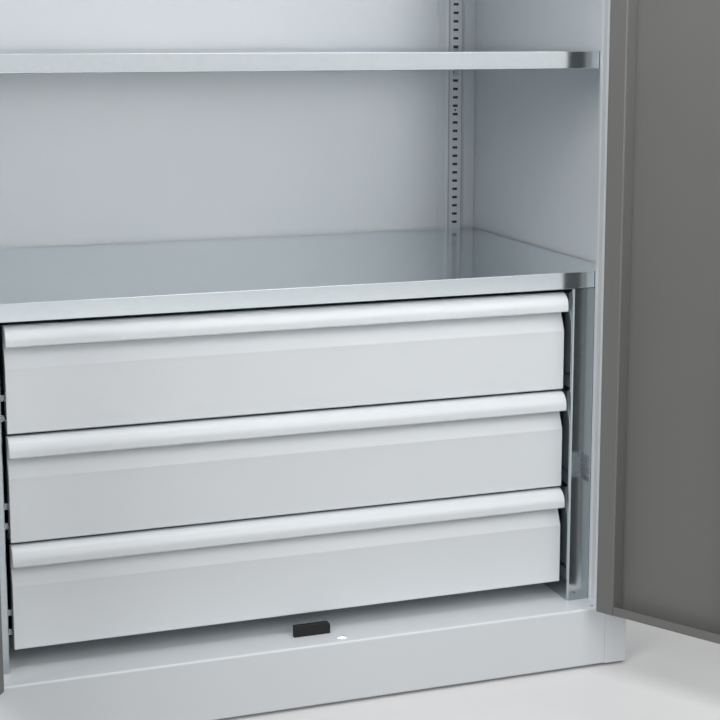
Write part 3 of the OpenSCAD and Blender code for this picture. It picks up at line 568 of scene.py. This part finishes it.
def makeUpright(side):
    name = f"{side}_drawer_frame"
    low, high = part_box(name)
    setup = drawerUpright
    sheet = setup["sheet"]
    hand = 1 if side == "right" else -1
    inner = low.x if hand > 0 else high.x
    flangeX = inner + hand * setup["flange"]
    outer = inner + hand * setup["face"]
    hem = low.y + setup["flange"]
    corners = [(flangeX, high.y), (inner, high.y), (inner, low.y), (outer, low.y), (outer, hem)]
    radii = [setup["backRound"], setup["frontRound"], setup["backRound"]]
    mesh = bmesh.new()
    foldSheet(mesh, corners, radii, sheet, lambda x, y: (x, y, low.z), (0, 0, high.z - low.z))
    for level in (low.z, high.z - sheet):
        near, far = sorted((inner + hand * sheet / 2, flangeX))
        addBox(mesh, (near, hem + setup["gap"], level), (far, high.y - setup["gap"], level + sheet))
    piece = newPiece(f"{side}Upright", mesh, uprightZinc, "cabinet")
    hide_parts(name)


for cabinetSide in ("left", "right"):
    makeUpright(cabinetSide)
print("uprights folded")


# shelves

shelf = {
    "sheet": 1.2 * mm,
    "edgeRound": 0.45 * mm,
    "foldRound": 1.6 * mm,
    "lip": 14 * mm,
    "hem": 8 * mm,
    "notchFront": -241.8 * mm,
    "notchBack": -188.2 * mm,
    "notch": 3.5 * mm,
    "wallGap": 3 * mm,
}


def makeShelf(node, name):
    low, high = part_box(node)
    setup = shelf
    low.x, high.x, high.y = low.x + setup["wallGap"], high.x - setup["wallGap"], high.y - setup["wallGap"]
    sheet, fold = setup["sheet"], setup["foldRound"]
    frontLip, backLip = low.y + setup["lip"], high.y - setup["lip"]
    narrow = high.x + setup["wallGap"] - setup["notch"]
    hem = low.z + setup["hem"]
    front = [(frontLip, hem), (frontLip, low.z), (low.y, low.z), (low.y, high.z), (setup["notchFront"], high.z)]
    rear = [(setup["notchFront"], high.z), (high.y, high.z), (high.y, low.z), (backLip, low.z), (backLip, hem)]
    mesh = bmesh.new()
    foldSheet(mesh, front, [fold, fold, setup["edgeRound"]], sheet, lambda y, z: (low.x, y, z),
              (high.x - low.x, 0, 0))
    part = bmesh.new()
    foldSheet(part, rear, [fold, fold, fold], sheet, lambda y, z: (-narrow, y, z), (2 * narrow, 0, 0))
    joined = bpy.data.meshes.new(name)
    part.to_mesh(joined)
    part.free()
    mesh.from_mesh(joined)
    bpy.data.meshes.remove(joined)
    for hand in (1, -1):
        for near, lowest in ((narrow, high.z - sheet), (high.x - sheet, low.z)):
            first, last = sorted((hand * near, hand * high.x))
            addBox(mesh, (first, setup["notchBack"], lowest), (last, high.y, high.z))
    faceOutwards(mesh)
    piece = newPiece(name, mesh, galvanised, "cabinet")
    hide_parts(node)


makeShelf("cover_shelf", "coverShelf")
for shelfNumber in (1, 2, 3):
    makeShelf(f"shelf_{shelfNumber}", f"shelf{shelfNumber}")
print("shelves folded")


# lever handle and its rosette, drawn on the shut door and then turned with it

leverHandle = {
    "centre": (35 * mm, 0, 1010 * mm),
    # half profiles in mm: radius and depth
    "hub": [(0, -334), (10, -334), (12.4, -333.4), (13.6, -332.2), (14, -330.6), (14, -308.2), (13.4, -306.9),
            (12.4, -306.3), (5, -306.3), (5, -293), (0, -293)],
    "rosette": [(5.4, -300), (5.4, -306), (19.6, -306), (21, -305.6), (21.8, -304.8), (22, -303.6), (22, -300),
                (5.4, -300)],
    "steps": 64,
    "leverTip": 147 * mm,
    "leverRoot": 18 * mm,
    "leverEnd": 15 * mm,
    "leverFront": -334 * mm,
    "leverBack": -322 * mm,
    "tipRound": 7 * mm,
    "tipSteps": 8,
    "leverRound": 4 * mm,
    "leverSteps": 6,
    "smoothAngle": 40.0,
    "hinge": (0.461, -0.3035, 0.0),
    "open": 121.0,
}


def spinRound(mesh, profile, centre, steps):
    points = [mesh.verts.new((centre[0] + radius * mm, along * mm, centre[2])) for radius, along in profile]
    edges = [mesh.edges.new(pair) for pair in zip(points, points[1:])]
    bmesh.ops.spin(mesh, geom=points + edges, cent=centre, axis=(0, 1, 0), angle=2 * math.pi, steps=steps,
                   use_merge=True)
    bmesh.ops.remove_doubles(mesh, verts=mesh.verts[:], dist=sheetTools["touching"])


def turnWithDoor(mesh, setup):
    hinge = Matrix.Translation(setup["hinge"])
    swing = hinge @ Matrix.Rotation(math.radians(setup["open"]), 4, "Z") @ hinge.inverted()
    bmesh.ops.transform(mesh, matrix=swing, verts=mesh.verts[:])
    faceOutwards(mesh)


def makeHandle(setup):
    x, z = setup["centre"][0], setup["centre"][2]
    lever = bmesh.new()
    outline = [(x, z - setup["leverRoot"] / 2), (setup["leverTip"], z - setup["leverEnd"] / 2),
               (setup["leverTip"], z + setup["leverEnd"] / 2), (x, z + setup["leverRoot"] / 2)]
    points = [lever.verts.new((a, setup["leverFront"], b)) for a, b in outline]
    lever.faces.new(points)
    roundOff(lever, points[1:3], setup["tipRound"], setup["tipSteps"], "VERTICES")
    pull(lever, bmesh.ops.extrude_face_region(lever, geom=lever.faces[:])["geom"],
         (0, setup["leverBack"] - setup["leverFront"], 0))
    faceOutwards(lever)
    rims = [edge for edge in lever.edges
            if abs(edge.verts[0].co.y - edge.verts[1].co.y) < sheetTools["touching"]]
    roundOff(lever, rims, setup["leverRound"], setup["leverSteps"])
    spinRound(lever, setup["hub"], setup["centre"], setup["steps"])
    turnWithDoor(lever, setup)
    piece = newPiece("doorHandle", lever, blackPlastic, "handle", setup["smoothAngle"])
    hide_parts("door_handle")
    rosette = bmesh.new()
    spinRound(rosette, setup["rosette"], setup["centre"], setup["steps"])
    turnWithDoor(rosette, setup)
    piece = newPiece("handleRosette", rosette, blackPlastic, "right_door",
                     setup["smoothAngle"])
    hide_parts("handle_rosette")


makeHandle(leverHandle)
print("handle moulded")


# stop block on the ledge

stopBlock = {
    "depth": 7.5 * mm,
    "corner": 5.5 * mm,
    "cornerSteps": 10,
    "edge": 1.2 * mm,
    "edgeSteps": 3,
    "sharpAngle": 40.0,
    "smoothAngle": 60.0,
}


def makeStopBlock(setup):
    low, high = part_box("stop_block")
    mesh = bmesh.new()
    outline = [(low.x, low.z), (high.x, low.z), (high.x, high.z), (low.x, high.z)]
    points = [mesh.verts.new((x, low.y, z)) for x, z in outline]
    mesh.faces.new(points)
    roundOff(mesh, [points[2]], setup["corner"], setup["cornerSteps"], "VERTICES")
    pull(mesh, bmesh.ops.extrude_face_region(mesh, geom=mesh.faces[:])["geom"], (0, setup["depth"], 0))
    faceOutwards(mesh)
    rims = [edge for edge in mesh.edges if edge.calc_face_angle(0) > math.radians(setup["sharpAngle"])]
    roundOff(mesh, rims, setup["edge"], setup["edgeSteps"])
    piece = newPiece("stopBlock", mesh, blackPlastic, "cabinet", setup["smoothAngle"])
    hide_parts("stop_block")


makeStopBlock(stopBlock)
print("stop block moulded")


# floor

def makeFloor(setup):
    mesh = bmesh.new()
    bmesh.ops.create_grid(mesh, x_segments=1, y_segments=1, size=setup["half"])
    data = bpy.data.meshes.new("floor")
    mesh.to_mesh(data)
    mesh.free()
    data.materials.append(paleFloor)
    floor = bpy.data.objects.new("floor", data)
    scene.collection.objects.link(floor)
    floor.visible_diffuse = setup["bounces"]


makeFloor(floorSetup)
print("floor laid")
